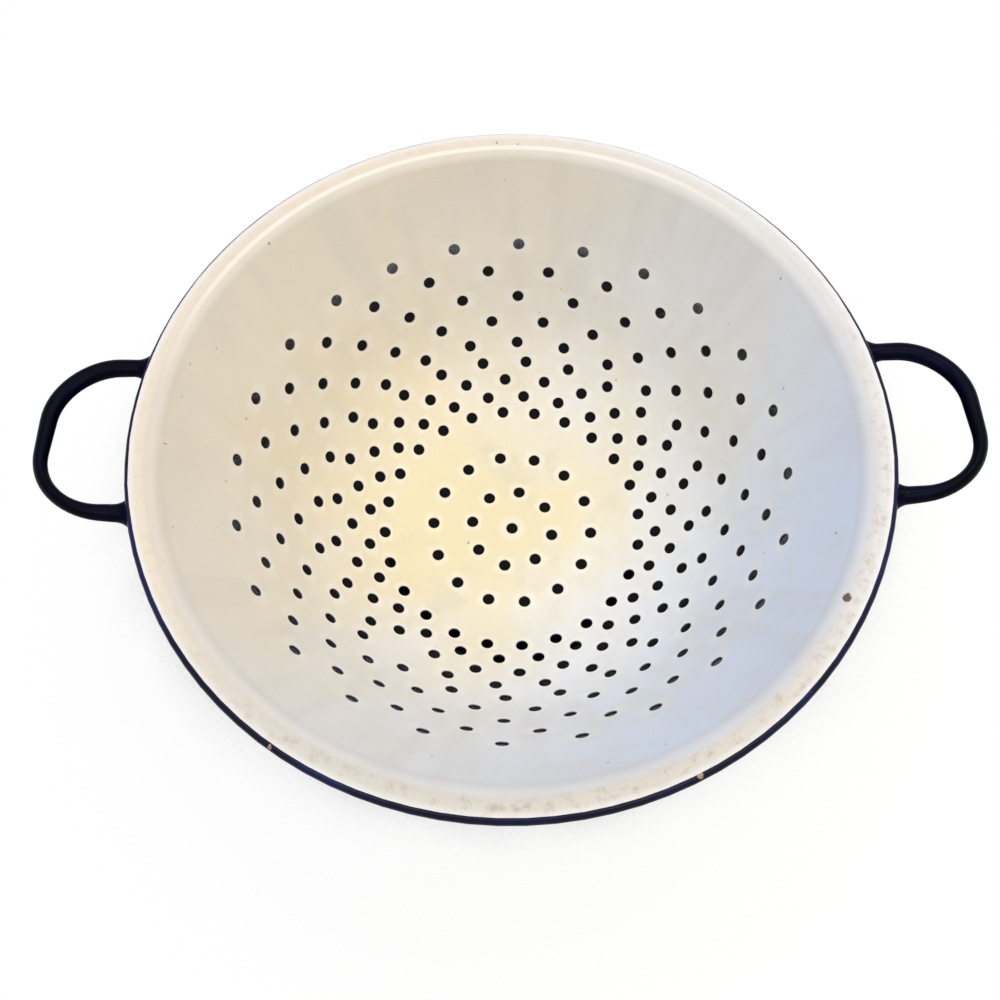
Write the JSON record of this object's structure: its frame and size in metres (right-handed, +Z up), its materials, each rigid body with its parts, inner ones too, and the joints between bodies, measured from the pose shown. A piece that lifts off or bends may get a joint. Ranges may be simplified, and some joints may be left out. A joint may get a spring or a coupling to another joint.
{
  "type": "enamel colander",
  "caption": "Round colander in enamelled steel: perforated bowl with a rolled rim, a foot ring and two fixed loop handles.",
  "frame": {"origin": "on the table, below the middle of the bowl", "axes": "+Z up along the bowl's axis, +X through the middle of one handle, +Y along the gap between the handles"},
  "size_m": [0.348, 0.28, 0.11],
  "materials": {
    "bare_steel": "pressed mild steel, hidden under the enamel",
    "cream_enamel": "glossy opaque vitreous enamel, cream",
    "blue_enamel": "glossy opaque vitreous enamel, very dark blue",
    "enamelled_steel": "steel under glossy very dark blue enamel"
  },
  "bodies": {
    "root": {"bowl_sheet": "bare_steel", "inner_enamel": "cream_enamel", "outer_enamel": "blue_enamel", "rim_wire": "bare_steel", "foot_ring": "enamelled_steel", "left_handle": "enamelled_steel", "right_handle": "enamelled_steel"}
  },
  "joints": []
}
